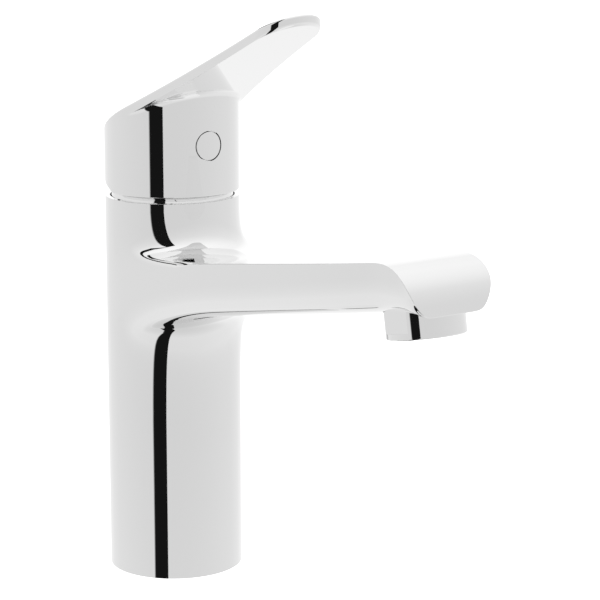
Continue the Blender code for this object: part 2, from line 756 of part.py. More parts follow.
def rotor():
    """The part that turns with the lever: flange, neck, guides for the carrier and a slot for the stem."""
    low, high = stack()["flange"]
    carrier_low = stack()["carrier"][0]
    flange = CARTRIDGE_INNER - ROTOR_FLANGE_PLAY
    made = disc("rotor", flange, low, high, GREY_PLASTIC)
    boolean(made, disc("join_rotor_neck", ROTOR_NECK_RADIUS, low + EPS, ROTOR_TOP, sides=28), "UNION")
    inner = CARRIER_FLAT + GAP
    outer = inner + GUIDE_THICKNESS
    reach = GUIDE_HALF_LENGTH
    for name, near, far in (("left", -outer, -inner), ("right", inner, outer)):
        corner = point(near, reach, carrier_low + GAP)
        boolean(made, block(f"join_guide_{name}", corner, point(far, -reach, low + EPS)), "UNION")
    half = STEM_WIDTH / 2 + GAP
    corner = point(-half, half + SLOT_BACK_ROOM, low - EPS)
    slot = block("cut_stem_slot", corner, point(half, -half - SLOT_FRONT_ROOM, ROTOR_TOP + EPS))
    return cut(made, slot, cross_rod("cut_rotor_pin_hole", PIN_RADIUS + GAP, flange))


def cross_rod(name, radius, reach, look=None):
    """A rod from side to side on the lever's pivot."""
    return rod(name, radius, point(-reach, 0, PIVOT_HEIGHT), point(reach, 0, PIVOT_HEIGHT), look, sides=12)


def stem_pin():
    return cross_rod("stem_pin", PIN_RADIUS, ROTOR_NECK_RADIUS - RUNNING_GAP, STEEL)


def stem_top():
    """The stem ends a roof's thickness under the lever's sloping top."""
    return lever_top(-STEM_WIDTH / 2 - GAP) - STEM_ROOF - GAP


def stem():
    """The lever inside the cartridge: a ball at its foot and a square bar that the handle fits."""
    middle = point(0, 0, ball_height())
    bar_low = stack()["flange"][1]
    half = STEM_WIDTH / 2
    made = block("stem", point(-half, half, bar_low), point(half, -half, stem_top()), STEEL)
    shaft = rod("join_stem_shaft", STEM_SHAFT_RADIUS, middle, point(0, 0, bar_low + EPS), sides=12)
    place = Matrix.Translation(middle)
    bm = bmesh.new()
    bmesh.ops.create_uvsphere(bm, u_segments=16, v_segments=8, radius=BALL_RADIUS, matrix=place)
    boolean(made, shaft, "UNION")
    boolean(made, new_object("join_stem_ball", bm), "UNION")
    return cut(made, cross_rod("cut_stem_pin_hole", PIN_RADIUS + RUNNING_GAP, STEM_WIDTH))


def limit_ring():
    """The stop on the cartridge's neck that limits how hot the water gets."""
    low = HOUSING_NECK_TOP + GAP
    inner = ROTOR_NECK_RADIUS + RUNNING_GAP
    profile = ring_profile(HOUSING_NECK_RADIUS - GAP, inner, low, low + LIMIT_RING_HEIGHT)
    return turned("limit_ring", profile, GREY_PLASTIC, closed=True)


def cartridge_nut():
    """The nut that clamps the cartridge: a threaded ring under a hexagon."""
    low, middle, high = nut_heights()
    made = disc("cartridge_nut", NUT_BORE_RADIUS - GAP, low, middle, BRASS)
    hexagon = disc("join_nut_hexagon", CARTRIDGE_RADIUS + NUT_HEX_STEP, middle - EPS, high, sides=6)
    boolean(made, hexagon, "UNION")
    return cut(made, disc("cut_nut_hole", HOUSING_NECK_RADIUS + GAP, low - EPS, high + EPS))


def cover_ring():
    """The collar between column and handle, domed about the lever's pivot so that the lever clears it."""
    rim = COVER_BORE_RADIUS - GAP
    bottom = nut_heights()[1] + 2 * GAP
    inner_dome = COVER_DOME_RADIUS - COVER_WALL
    inner_rim = rim - COVER_RIM_THICKNESS
    neck = HOUSING_NECK_RADIUS + 2 * RUNNING_GAP

    def dome(radius, height_from, height_to, count):
        heights = [height_from + (height_to - height_from) * index / count for index in range(count + 1)]
        return [(math.sqrt(radius**2 - (height - PIVOT_HEIGHT) ** 2), height) for height in heights]

    outer_start = PIVOT_HEIGHT + math.sqrt(COVER_DOME_RADIUS**2 - rim**2)
    inner_start = PIVOT_HEIGHT + math.sqrt(inner_dome**2 - inner_rim**2)
    profile = [(neck, COVER_TOP)]
    profile += dome(COVER_DOME_RADIUS, COVER_TOP, outer_start, 5)
    profile += [(rim, bottom), (inner_rim, bottom)]
    profile += dome(inner_dome, inner_start, COVER_TOP - COVER_WALL, 3)
    profile += [(neck, COVER_TOP - COVER_WALL)]
    return turned("cover_ring", profile, CHROME, steps=40, closed=True)


def lever_top(forward):
    return LEVER_TOP_AT_AXIS + LEVER_SLOPE * forward


def lever_half_width(forward):
    """The lever's side leaves the skirt along its tangent and curves gently to the tip."""
    start = BODY_RADIUS * math.sin(LEVER_SIDE_START)
    past = forward - start
    tangent = BODY_RADIUS * math.cos(LEVER_SIDE_START) - math.tan(LEVER_SIDE_START) * past
    return tangent + LEVER_SIDE_CURVE * past**2


def lever_outline(side_points=4, tip_points=12):
    """The lever's front outline from one tangent point to the other, as side and forward distances."""
    start = BODY_RADIUS * math.sin(LEVER_SIDE_START)
    radius = lever_half_width(LEVER_TIP_CENTRE)
    sides = [start + (LEVER_TIP_CENTRE - start) * index / side_points for index in range(side_points)]
    near = [(-lever_half_width(forward), forward) for forward in sides]
    turns = [math.pi * index / tip_points for index in range(tip_points + 1)]
    tip = [(-radius * math.cos(turn), LEVER_TIP_CENTRE + radius * math.sin(turn)) for turn in turns]
    far = [(-side, forward) for side, forward in reversed(near)]
    return near + tip + far


def skirt_ring(radius, front_count, rear_count=26):
    """The skirt's circle with as many points ahead of the tangent points as the lever's outline has."""
    reach = math.pi / 2 - LEVER_SIDE_START
    front = [-reach + 2 * reach * index / (front_count - 1) for index in range(front_count)]
    rear_span = math.tau - 2 * reach
    rear = [reach + rear_span * index / rear_count for index in range(1, rear_count)]
    return [(radius * math.sin(turn), radius * math.cos(turn)) for turn in front + rear]


def skirt_bottom(forward):
    """The skirt's lower edge, cut back at the rear so that the lever can lift."""
    behind = max(0.0, -forward - SKIRT_REAR_CUT_START)
    return SKIRT_BOTTOM + behind * math.tan(math.radians(SKIRT_REAR_CUT_DEGREES))


def handle():
    """Skirt and lever in one casting, with a socket for the stem and a bore for its set screw."""
    outline = lever_outline()
    inner = skirt_ring(BODY_RADIUS - SKIRT_WALL, len(outline))
    outer = skirt_ring(BODY_RADIUS, len(outline))
    plan = outline + outer[len(outline):]
    bm = loft([
        [point(side, forward, HANDLE_CEILING) for side, forward in inner],
        [point(side, forward, skirt_bottom(forward)) for side, forward in inner],
        [point(side, forward, skirt_bottom(forward)) for side, forward in outer],
        [point(side, forward, lever_top(forward) - LEVER_THICKNESS) for side, forward in outer],
        [point(side, forward, lever_top(forward) - LEVER_THICKNESS) for side, forward in plan],
        [point(side, forward, lever_top(forward)) for side, forward in plan],
    ])
    bmesh.ops.remove_doubles(bm, verts=bm.verts, dist=0.000001)
    made = new_object("handle", bm, CHROME)
    half = STEM_WIDTH / 2 + GAP
    corner = point(-half, half, HANDLE_CEILING - EPS)
    socket = block("cut_stem_socket", corner, point(half, -half, stem_top() + GAP))
    front = BODY_RADIUS + EPS
    bore = screw_rod("cut_screw_bore", SET_SCREW_RADIUS + GAP, 0, front)
    floor = BODY_RADIUS - PLUG_THICKNESS - GAP
    recess = screw_rod("cut_plug_recess", PLUG_RADIUS + GAP, floor, front, sides=24)
    return cut(made, socket, bore, recess)


def screw_rod(name, radius, start, end, look=None, sides=16):
    """A rod on the set screw's axis, between two distances forward."""
    return rod(name, radius, point(0, start, SET_SCREW_HEIGHT), point(0, end, SET_SCREW_HEIGHT), look, sides)


def set_screw():
    """A headless screw with a hexagon key's hole, tight against the stem."""
    start = STEM_WIDTH / 2 + GAP
    end = start + SET_SCREW_LENGTH
    made = screw_rod("set_screw", SET_SCREW_RADIUS, start, end, STEEL)
    floor = end - SET_SCREW_KEY_DEPTH
    return cut(made, screw_rod("cut_screw_key", SET_SCREW_KEY_RADIUS, floor, end + EPS, sides=6))


def index_plug():
    """The round cap over the set screw, curved like the skirt's front."""
    start = BODY_RADIUS - PLUG_THICKNESS
    made = screw_rod("index_plug", PLUG_RADIUS, start, BODY_RADIUS + EPS, CHROME, sides=24)
    skin = disc("keep_skirt_curve", BODY_RADIUS, SKIRT_BOTTOM, LEVER_TOP_AT_AXIS, sides=96)
    return boolean(made, skin, "INTERSECT")


def aerator():
    """The pieces at the spout's tip, each turned about the aerator's axis."""
    seat = aerator_frame()
    bore = AERATOR_THREAD_RADIUS - AERATOR_WALL
    lip = bore - AERATOR_LIP
    washer_top = AERATOR_BORE_DEPTH - GAP
    thread_top = washer_top - WASHER_THICKNESS - GAP
    shoulder = AERATOR_RECESS - GAP
    edge = AERATOR_RIM_CHAMFER
    housing = turned("aerator_housing", [
        (AERATOR_THREAD_RADIUS, thread_top),
        (AERATOR_THREAD_RADIUS, shoulder),
        (AERATOR_RADIUS, shoulder),
        (AERATOR_RADIUS, edge - AERATOR_LENGTH),
        (AERATOR_RADIUS - edge, -AERATOR_LENGTH),
        (lip, -AERATOR_LENGTH),
        (lip, AERATOR_LIP - AERATOR_LENGTH),
        (bore, AERATOR_LIP - AERATOR_LENGTH),
        (bore, thread_top),
    ], CHROME, closed=True, frame=seat)
    near, far = AERATOR_RADIUS - AERATOR_FLAT_DEPTH, AERATOR_RADIUS + EPS
    for name, left, right in (("left", -far, -near), ("right", near, far)):
        low = Vector((left, -AERATOR_RADIUS, AERATOR_RIM - AERATOR_LENGTH))
        flat = block(f"cut_wrench_flat_{name}", low, Vector((right, AERATOR_RADIUS, shoulder + EPS)))
        flat.matrix_world = seat
        cut(housing, flat)
    profile = ring_profile(AERATOR_THREAD_RADIUS, bore - 2 * AERATOR_LIP, thread_top + GAP, washer_top)
    washer = turned("aerator_washer", profile, RUBBER, closed=True, frame=seat)
    screen_low = thread_top - GAP - SCREEN_THICKNESS
    insert_low = AERATOR_LIP - AERATOR_LENGTH + GAP
    insert = aerator_disc("aerator_insert", insert_low, screen_low - GAP, INSERT_HOLE_RADIUS, WHITE_PLASTIC)
    screen = aerator_disc("aerator_screen", screen_low, thread_top - GAP, SCREEN_HOLE_RADIUS, STEEL)
    return [housing, washer, insert, screen]


def aerator_disc(name, low, high, hole_radius, look):
    """A round piece inside the aerator, with six holes for the water and one in the middle."""
    seat = aerator_frame()
    radius = AERATOR_THREAD_RADIUS - AERATOR_WALL - GAP
    reach = radius * AERATOR_HOLES_AT
    turns = [math.tau * index / 6 for index in range(6)]
    places = [(reach * math.cos(turn), reach * math.sin(turn)) for turn in turns] + [(0.0, 0.0)]
    made = rod(name, radius, seat @ Vector((0, 0, low)), seat @ Vector((0, 0, high)), look, sides=32)
    for index, place in enumerate(places, 1):
        start, end = seat @ Vector((*place, low - EPS)), seat @ Vector((*place, high + EPS))
        cut(made, rod(f"cut_{name}_{index}", hole_radius, start, end, sides=8))
    return made


def joint_empty(name, place, parent=None):
    """An empty on a joint's axis, for the pieces that move with it."""
    made = bpy.data.objects.new(name, None)
    made.empty_display_size = 0.01
    made.location = place if parent is None else place - parent.location
    made.parent = parent
    PARTS.objects.link(made)
    return made


def hang(parent, place, *pieces):
    """Parent pieces to an empty at a place, leaving them where they are."""
    for piece in pieces:
        piece.parent = parent
        piece.matrix_parent_inverse = Matrix.Translation(-place)


def main():
    faucet_body()
    base_seal()
    inlet_block()
    risers()
    manifold()
    manifold_seals()
    seat_seals()
    cartridge_base()
    disc_gasket()
    fixed_disc()
    cartridge_housing()
    limit_ring()
    cartridge_nut()
    cover_ring()
    aerator()

    pivot = point(0, 0, PIVOT_HEIGHT)
    swivel = joint_empty("swivel_axis", pivot)
    lift = joint_empty("lift_axis", pivot, swivel)
    slide = joint_empty("disc_slide", pivot, swivel)
    hang(swivel, pivot, rotor(), stem_pin())
    hang(lift, pivot, stem(), handle(), set_screw(), index_plug())
    hang(slide, pivot, moving_disc(), disc_carrier())


for old in list(bpy.data.objects):
    bpy.data.objects.remove(old)
PARTS = collection("bathroom_mixer_faucet")
CUTTERS = collection("cutters")
main()
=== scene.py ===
# %% [markdown]
# # Bathroom mixer faucet
# This lesson dresses a finished engineering model of a basin tap. The model already has every working
# piece, but its round parts are made of flat facets, and a mirror finish shows each facet. So the five
# pieces that people see are built again here, finer and with softened edges, around the same sizes. The
# pieces inside keep their shapes and get better finishes.

# %% Load the model
import math

import bmesh
import bpy
from mathutils import Matrix, Vector


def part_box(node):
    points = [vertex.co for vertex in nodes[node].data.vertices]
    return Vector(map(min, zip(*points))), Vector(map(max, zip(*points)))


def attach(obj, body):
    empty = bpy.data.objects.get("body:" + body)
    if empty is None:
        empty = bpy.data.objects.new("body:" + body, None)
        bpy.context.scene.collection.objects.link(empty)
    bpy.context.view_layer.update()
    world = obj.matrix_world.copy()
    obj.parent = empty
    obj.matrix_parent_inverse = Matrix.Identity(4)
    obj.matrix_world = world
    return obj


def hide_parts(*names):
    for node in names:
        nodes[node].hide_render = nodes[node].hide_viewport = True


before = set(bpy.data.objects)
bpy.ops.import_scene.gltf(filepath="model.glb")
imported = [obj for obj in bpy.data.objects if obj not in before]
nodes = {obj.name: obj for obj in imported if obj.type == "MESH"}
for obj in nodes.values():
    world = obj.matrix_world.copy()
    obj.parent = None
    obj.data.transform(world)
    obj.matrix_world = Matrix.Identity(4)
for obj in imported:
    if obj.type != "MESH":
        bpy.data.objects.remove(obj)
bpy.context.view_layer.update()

# %% [markdown]
# Lengths are in metres. The column stands on the Z axis and the spout runs towards -Y, so "forward" below
# means the distance along -Y. A tap has a left and a right that mirror each other, and this helper keeps
# the order side, forward, up in every cell.

# %% Places


def point(side, forward, up):
    """A place given by its distance to the side, towards the spout's tip, and above the deck."""
    return Vector((side, -forward, up))


COLUMN_RADIUS = 0.0230
RIM_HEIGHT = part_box("faucet_body")[1].z
skirt_low, skirt_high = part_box("handle")
print("rim height", round(RIM_HEIGHT, 4), "handle top", round(skirt_high.z, 4))

# %% [markdown]
# ## Helpers for shaping
# Most of the tap is either turned, like the collar and the aerator's sleeve, or drawn through a row of
# sections, like the spout and the lever. A turned piece comes from the spin operator. A drawn piece
# starts as a filled circle whose face is extruded again and again, with its points moved to the next
# section each time.

# %% Turned shapes
SAME_PLACE = 0.000001


def turned(profile, steps=128, closed=True):
    """Spin an outline of (radius, height) points about Z. An open outline starts and ends on the axis."""
    bm = bmesh.new()
    verts = [bm.verts.new((radius, 0.0, height)) for radius, height in profile]
    for start, end in zip(verts[:-1], verts[1:]):
        bm.edges.new((start, end))
    if closed:
        bm.edges.new((verts[-1], verts[0]))
    bmesh.ops.spin(
        bm, geom=list(bm.verts) + list(bm.edges), cent=(0, 0, 0), axis=(0, 0, 1), dvec=(0, 0, 0),
        angle=math.tau, steps=steps, use_merge=True, use_duplicate=False,
    )
    bmesh.ops.remove_doubles(bm, verts=bm.verts, dist=SAME_PLACE)
    bmesh.ops.recalc_face_normals(bm, faces=bm.faces)
    return bm


# %% Drawn shapes
KEY_DIGITS = 7


def key(place):
    """A place as a key for a table, rounded so that a stored point finds itself again."""
    return tuple(round(value, KEY_DIGITS) for value in place)


def extrude(bm, faces, moves):
    """Pull a patch of faces out, move its points by the table of places, and return the new patch."""
    made = bmesh.ops.extrude_face_region(bm, geom=faces)["geom"]
    bmesh.ops.delete(bm, geom=faces, context="FACES")
    for vert in (item for item in made if isinstance(item, bmesh.types.BMVert)):
        vert.co = moves[key(vert.co)]
    return [item for item in made if isinstance(item, bmesh.types.BMFace)]


def drawn(sections, ring=False):
    """A mesh through rings of equally many points. A ring shape joins its last section to its first."""
    bm = bmesh.new()
    bmesh.ops.create_circle(bm, cap_ends=True, segments=len(sections[0]), radius=1.0)
    for vert, place in zip(list(bm.verts), sections[0]):
        vert.co = place
    start = list(bm.faces)
    bottom = bmesh.ops.duplicate(bm, geom=start)["geom"]
    bottom = [item for item in bottom if isinstance(item, bmesh.types.BMFace)]
    patch = start
    for before, after in zip(sections[:-1], sections[1:]):
        patch = extrude(bm, patch, {key(old): new for old, new in zip(before, after)})
    if ring:
        bmesh.ops.delete(bm, geom=patch + bottom, context="FACES")
    bmesh.ops.remove_doubles(bm, verts=bm.verts, dist=SAME_PLACE / 2)
    bmesh.ops.dissolve_degenerate(bm, edges=bm.edges, dist=SAME_PLACE / 5)
    bmesh.ops.recalc_face_normals(bm, faces=bm.faces)
    return bm


# %% [markdown]
# ## Helpers for finishing a piece
# Polished metal never ends in a perfectly sharp edge. The buffing wheel leaves a tiny round that catches
# the light. So each piece gets fine rounds on its edges, either drawn into its sections or made by a
# bevel. The Weighted Normal modifier then keeps the large faces truly flat in the reflections. All
# modifiers are applied, so the mesh that is seen is the mesh that is kept.

# %% Piece, soften, carve, settle
BEVEL_ANGLE = math.radians(25.0)
SHARP_ANGLE = math.radians(40.0)
FLATNESS_WEIGHT = 80
FACING = 0.985


def piece(name, bm):
    """An object with smooth shading from a finished mesh."""
    mesh = bpy.data.meshes.new(name)
    bm.to_mesh(mesh)
    bm.free()
    mesh.shade_smooth()
    made = bpy.data.objects.new(name, mesh)
    bpy.context.scene.collection.objects.link(made)
    return made


def soften(target, width, segments=3):
    """Round the edges that turn sharply."""
    step = target.modifiers.new("edges", "BEVEL")
    step.limit_method = "ANGLE"
    step.angle_limit = BEVEL_ANGLE
    step.width = width
    step.segments = segments
    step.miter_outer = "MITER_ARC"
    return target


def carve(target, tool):
    """Take a cutter's shape out of a piece."""
    step = target.modifiers.new(tool.name, "BOOLEAN")
    step.operation = "DIFFERENCE"
    step.solver = "EXACT"
    step.object = tool
    settle(target)
    bpy.data.objects.remove(tool)
    return target


def settle(target):
    """Apply every modifier on a piece."""
    graph = bpy.context.evaluated_depsgraph_get()
    mesh = bpy.data.meshes.new_from_object(target.evaluated_get(graph))
    target.modifiers.clear()
    target.data = mesh
    return target


def weigh(target):
    """Settle a piece with flat faces kept flat in its reflections."""
    settle(target)
    target.data.set_sharp_from_angle(angle=SHARP_ANGLE)
    step = target.modifiers.new("flat", "WEIGHTED_NORMAL")
    step.keep_sharp = True
    step.weight = FLATNESS_WEIGHT
    settle(target)
    print(target.name, "faces:", len(target.data.polygons))
    return target


def true_round(target, radius, tolerance=0.00002):
    """Give the corners on an upright cylinder the normals of a perfect one."""
    mesh = target.data
    normals = [corner.vector.copy() for corner in mesh.corner_normals]
    for face in mesh.polygons:
        for loop in face.loop_indices:
            place = mesh.vertices[mesh.loops[loop].vertex_index].co
            outward = Vector((place.x, place.y, 0.0))
            if abs(outward.length - radius) > tolerance:
                continue
            outward.normalize()
            if face.normal.dot(outward) > FACING:
                normals[loop] = outward
    mesh.normals_split_custom_set(normals)
    return target


# %% [markdown]
# ## Column and spout
# On the real tap the column and the spout are one casting: a round column, and a flat-topped arm with
# upright sides, rounded lower edges and a nose that curves down like a visor. Booleans between a cylinder
# and a bar would leave a hard seam where the casting has generous fillets. A cage under a Subdivision
# Surface suits it better: the spout is pulled out of the front half of the column's cage, so the fillets
# come by themselves, and creases keep the few crisp edges.

# %% Sizes of the spout
SPOUT_REACH = 0.1368
SPOUT_ROOT = 0.0370
STATIONS = ((0.00, 1.00), (0.19, 0.84), (0.43, 0.72), (0.67, 0.56), (0.83, 0.33), (0.94, 0.08), (1.00, 0.00))
ROOT_HALF_WIDTH = 0.0226
TIP_HALF_WIDTH = 0.0162
TOP_BELOW_RIM = 0.0219
TOP_AT_AXIS = RIM_HEIGHT - TOP_BELOW_RIM
TOP_SLOPE = 0.155
SPOUT_DEPTH = 0.0198
UNDER_AT_AXIS = TOP_AT_AXIS - SPOUT_DEPTH
UNDER_SLOPE = 0.184
LOWER_ROUND = 0.0080
VISOR_LENGTH = 0.0140
VISOR_LIP = 0.0010
VISOR_DROP = 0.0020
VISOR_SIDES = 12
TOP_FILLET = 0.0140
UNDER_FILLET = 0.0140
CORNER_PULL = 0.19
SPREAD = (0.0, 0.3, 0.58, 0.82, 1.0)
COLUMN_SIDES = 16
QUARTER = COLUMN_SIDES // 4


def spout_top(forward):
    """The spout's flat top, which rises towards the tip."""
    return TOP_AT_AXIS + TOP_SLOPE * forward


def spout_floor(forward):
    """The underside, with the visor's lip drawn down at the tip."""
    past = max(0.0, forward - SPOUT_REACH) / VISOR_LENGTH
    return UNDER_AT_AXIS + UNDER_SLOPE * forward - VISOR_DROP * past**2


print("underside at the tip", round(spout_floor(SPOUT_REACH + VISOR_LENGTH), 4))

# %% Sections of the spout


def cage_radius(radius, sides):
    """How far out a cage's corners stand for its smoothed ring to have this radius."""
    return radius * 6.0 / (4.0 + 2.0 * math.cos(math.tau / sides))


def spout_sections():
    """Forward distance, half width and top of each section, with the visor's quarter ellipse at the tip."""
    sections = []
    for along, taper in STATIONS:
        forward = SPOUT_ROOT + (SPOUT_REACH - SPOUT_ROOT) * along
        half_width = TIP_HALF_WIDTH + (ROOT_HALF_WIDTH - TIP_HALF_WIDTH) * taper
        sections.append((forward, half_width, spout_top(forward)))
    tip = SPOUT_REACH + VISOR_LENGTH
    lip = spout_floor(tip) + VISOR_LIP
    drop = spout_top(SPOUT_REACH) - lip
    bulge = cage_radius(1.0, VISOR_SIDES)
    for turn in (math.tau / VISOR_SIDES, 2 * math.tau / VISOR_SIDES):
        forward = SPOUT_REACH + VISOR_LENGTH * math.sin(turn) * bulge
        sections.append((forward, TIP_HALF_WIDTH, lip + drop * math.cos(turn) * bulge))
    return sections + [(tip, TIP_HALF_WIDTH, lip)]


def section_width(width, height):
    """Half width of a section at a height above its underside, where the lower edges are round."""
    sunk = max(0.0, LOWER_ROUND - height)
    return width - LOWER_ROUND + math.sqrt(LOWER_ROUND**2 - sunk**2)


def section_point(column, row, section):
    """A cage point: column from -4 to 4 across, row 0 underneath, 1 on the side, 2 on top."""
    forward, width, top = section
    low = spout_floor(forward)
    edge = math.copysign(1.0, column)
    if row == 2:
        return point(edge * SPREAD[abs(column)] * section_width(width, top - low), forward, top)
    height = min(LOWER_ROUND, (top - low) / 2)
    if row == 1:
        return point(edge * SPREAD[abs(column)] * section_width(width, height), forward, low + height)
    if abs(column) == QUARTER:
        inset = min(CORNER_PULL * LOWER_ROUND, height / 2)
        return point(edge * (section_width(width, height) - inset), forward, low + inset)
    return point(edge * abs(column) / 3 * (width - LOWER_ROUND), forward, low)


print("sections:", len(spout_sections()))

# %% [markdown]
# The column's cage has sixteen sides. Its rings run up the outside, over the rim and down the bores
# inside, and the last ring meets the first at the foot, which makes it a tube. Each outer ring has a
# slope that only its front half follows, so the rings already lie where the spout's underside and top
# will meet the column.

# %% The column's cage with the spout pulled out
FIT_GAP = 0.0003
SEAT_BORE = 0.0182
NUT_BORE = 0.0193
COLLAR_BORE = 0.0212
FOOT_BORE = 0.0191
COLLAR_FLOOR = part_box("cover_ring")[0].z - FIT_GAP
NUT_FLOOR = 0.1120
BLOCK_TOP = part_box("inlet_block")[1].z + FIT_GAP
GROOVE_INNER = 0.0199
GROOVE_OUTER = 0.0222
SEAL_GAP = 0.0002
GROOVE_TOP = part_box("base_seal")[1].z + SEAL_GAP
ROOT_LOW = 3
ROOT_TOP = 5
RINGS = (
    (0.0, 0.0, 0.0),
    (UNDER_AT_AXIS / 2, 0.0, 0.0),
    (UNDER_AT_AXIS - UNDER_FILLET, UNDER_SLOPE, 0.0),
    (UNDER_AT_AXIS - UNDER_FILLET * CORNER_PULL, UNDER_SLOPE, UNDER_FILLET * CORNER_PULL),
    (UNDER_AT_AXIS + LOWER_ROUND, UNDER_SLOPE, 0.0),
    (TOP_AT_AXIS + TOP_FILLET * CORNER_PULL, TOP_SLOPE, TOP_FILLET * CORNER_PULL),
    (TOP_AT_AXIS + TOP_FILLET, TOP_SLOPE / 2, 0.0),
    (RIM_HEIGHT, 0.0, 0.0),
)
INNER_RINGS = (
    (COLLAR_BORE, RIM_HEIGHT), (COLLAR_BORE, COLLAR_FLOOR), (NUT_BORE, COLLAR_FLOOR), (NUT_BORE, NUT_FLOOR),
    (SEAT_BORE, NUT_FLOOR), (SEAT_BORE, BLOCK_TOP), (FOOT_BORE, BLOCK_TOP), (FOOT_BORE, 0.0),
    (GROOVE_INNER, 0.0), (GROOVE_INNER, GROOVE_TOP), (GROOVE_OUTER, GROOVE_TOP), (GROOVE_OUTER, 0.0),
)
STEP = math.tau / COLUMN_SIDES
COLUMNS = range(-QUARTER, COLUMN_SIDES - QUARTER)


def outer_point(column, ring):
    """A corner of the cage outside the column."""
    height, slope, push = RINGS[ring]
    reach = cage_radius(COLUMN_RADIUS, COLUMN_SIDES)
    forward = reach * math.cos(column * STEP)
    ahead = max(0.0, forward)
    return point(reach * math.sin(column * STEP), forward + push * ahead / reach, height + slope * ahead)


def inner_point(column, radius, height):
    """A corner of the cage in the bores."""
    reach = cage_radius(radius, COLUMN_SIDES)
    return point(reach * math.sin(column * STEP), reach * math.cos(column * STEP), height)


def body_cage():
    """The tube of rings, with the spout's sections extruded from its front one by one."""
    sections = [[outer_point(column, ring) for column in COLUMNS] for ring in range(len(RINGS))]
    sections += [[inner_point(column, *ring) for column in COLUMNS] for ring in INNER_RINGS]
    bm = drawn(sections + sections[:1], ring=True)
    tags = {}
    for row, ring in enumerate(range(ROOT_LOW, ROOT_TOP + 1)):
        for column in range(-QUARTER, QUARTER + 1):
            tags[key(outer_point(column, ring))] = (column, row)
    patch = [face for face in bm.faces if all(key(vert.co) in tags for vert in face.verts)]
    for section in spout_sections():
        moves = {place: section_point(*tag, section) for place, tag in tags.items()}
        patch = extrude(bm, patch, moves)
        tags = {key(moves[place]): tag for place, tag in tags.items()}
    return bm


cage = body_cage()
print("cage faces:", len(cage.faces))

# %% [markdown]
# A crease tells the Subdivision Surface to keep an edge. The steps of the bores, the rims, both top edges
# of the spout and the lip of the visor are creased. Once the surface is smooth, the crisp edges get a
# fine bevel: a wider one where the faces beside them leave room, and a finer one elsewhere.

# %% Creases
LEVEL_TOLERANCE = 0.00001
ROOM_FOR_BEVEL = 1.4
EDGE_WIDTHS = (0.00030, 0.00012)
SMOOTH_LEVELS = 3


def crease_edges(bm):
    """Crease the level rings at the steps, the spout's top edges and the visor's lip."""
    crease = bm.edges.layers.float.new("crease_edge")
    sections = spout_sections()
    weights = {}
    for side in (-QUARTER, QUARTER):
        places = [key(section_point(side, 2, section)) for section in sections]
        for pair in zip(places[:-1], places[1:]):
            weights[frozenset(pair)] = 1.0
    lip = [key(section_point(column, 2, sections[-1])) for column in range(-QUARTER, QUARTER + 1)]
    for pair in zip(lip[:-1], lip[1:]):
        weights[frozenset(pair)] = 1.0
    rims = {0.0, RIM_HEIGHT, COLLAR_FLOOR, NUT_FLOOR, BLOCK_TOP, GROOVE_TOP}
    for edge in bm.edges:
        ends = [vert.co for vert in edge.verts]
        level = any(all(abs(end.z - rim) < LEVEL_TOLERANCE for end in ends) for rim in rims)
        around = abs(ends[0].to_2d().length - ends[1].to_2d().length) < LEVEL_TOLERANCE
        if level and around:
            edge[crease] = 1.0
        edge[crease] = max(edge[crease], weights.get(frozenset(key(end) for end in ends), 0.0))


def fine_bevel(bm, width):
    """Bevel the crisp edges whose neighbouring edges are all long enough for this width."""
    crisp = {edge for edge in bm.edges if len(edge.link_faces) == 2 and edge.calc_face_angle() > BEVEL_ANGLE}

    def has_room(edge):
        beside = [other for vert in edge.verts for other in vert.link_edges if other not in crisp]
        return all(other.calc_length() > ROOM_FOR_BEVEL * width for other in beside)

    roomy = [edge for edge in bm.edges if edge in crisp and has_room(edge)]
    bmesh.ops.bevel(
        bm, geom=roomy, offset=width, segments=3, affect="EDGES", profile=0.5, material=-1,
        clamp_overlap=False,
    )
    print("bevel", width, "on edges:", len(roomy))


crease_edges(cage)
body = piece("body_casting", cage)
smooth = body.modifiers.new("smooth", "SUBSURF")
smooth.levels = SMOOTH_LEVELS
smooth.render_levels = SMOOTH_LEVELS
settle(body)
bm = bmesh.new()
bm.from_mesh(body.data)
for width in EDGE_WIDTHS:
    fine_bevel(bm, width)
bm.to_mesh(body.data)
bm.free()
print("casting faces:", len(body.data.polygons))

# %% [markdown]
# The aerator sits in a bore under the tip, at right angles to the sloping underside. Its frame of
# reference is a matrix, and the same matrix places the cutter here and the sleeve later.

# %% The aerator's bore
SLEEVE_RADIUS = 0.0122
THREAD_RADIUS = 0.0111
AERATOR_LENGTH = 0.0080
RECESS = 0.0010
BORE_DEPTH = 0.0057
DRILL_SEGMENTS = 128
tilt = math.atan(UNDER_SLOPE)
seat = Matrix.Translation(point(0, SPOUT_REACH, UNDER_AT_AXIS + UNDER_SLOPE * SPOUT_REACH))
seat = seat @ Matrix.Rotation(-tilt, 4, "X")
for radius, low, high in ((SLEEVE_RADIUS, -AERATOR_LENGTH, RECESS), (THREAD_RADIUS, -RECESS, BORE_DEPTH)):
    place = seat @ Matrix.Translation((0, 0, (low + high) / 2))
    drill = bmesh.new()
    bmesh.ops.create_cone(
        drill, cap_ends=True, segments=DRILL_SEGMENTS, radius1=radius + FIT_GAP, radius2=radius + FIT_GAP,
        depth=high - low, matrix=place,
    )
    carve(body, piece("drill", drill))
weigh(body)
true_round(body, COLUMN_RADIUS)
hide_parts("faucet_body")
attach(body, "body")

# %% [markdown]
# ## Handle
# The handle is one casting as well: a skirt the size of the column, and a flat lever that rises forwards
# from its top. Seen from above, the lever's sides leave the skirt along its tangents and end in a half
# circle. Each point of the skirt's ring is drawn out to its partner on the lever's outline, and the rings
# on the way form the hollow under the lever's root and the soft edges.

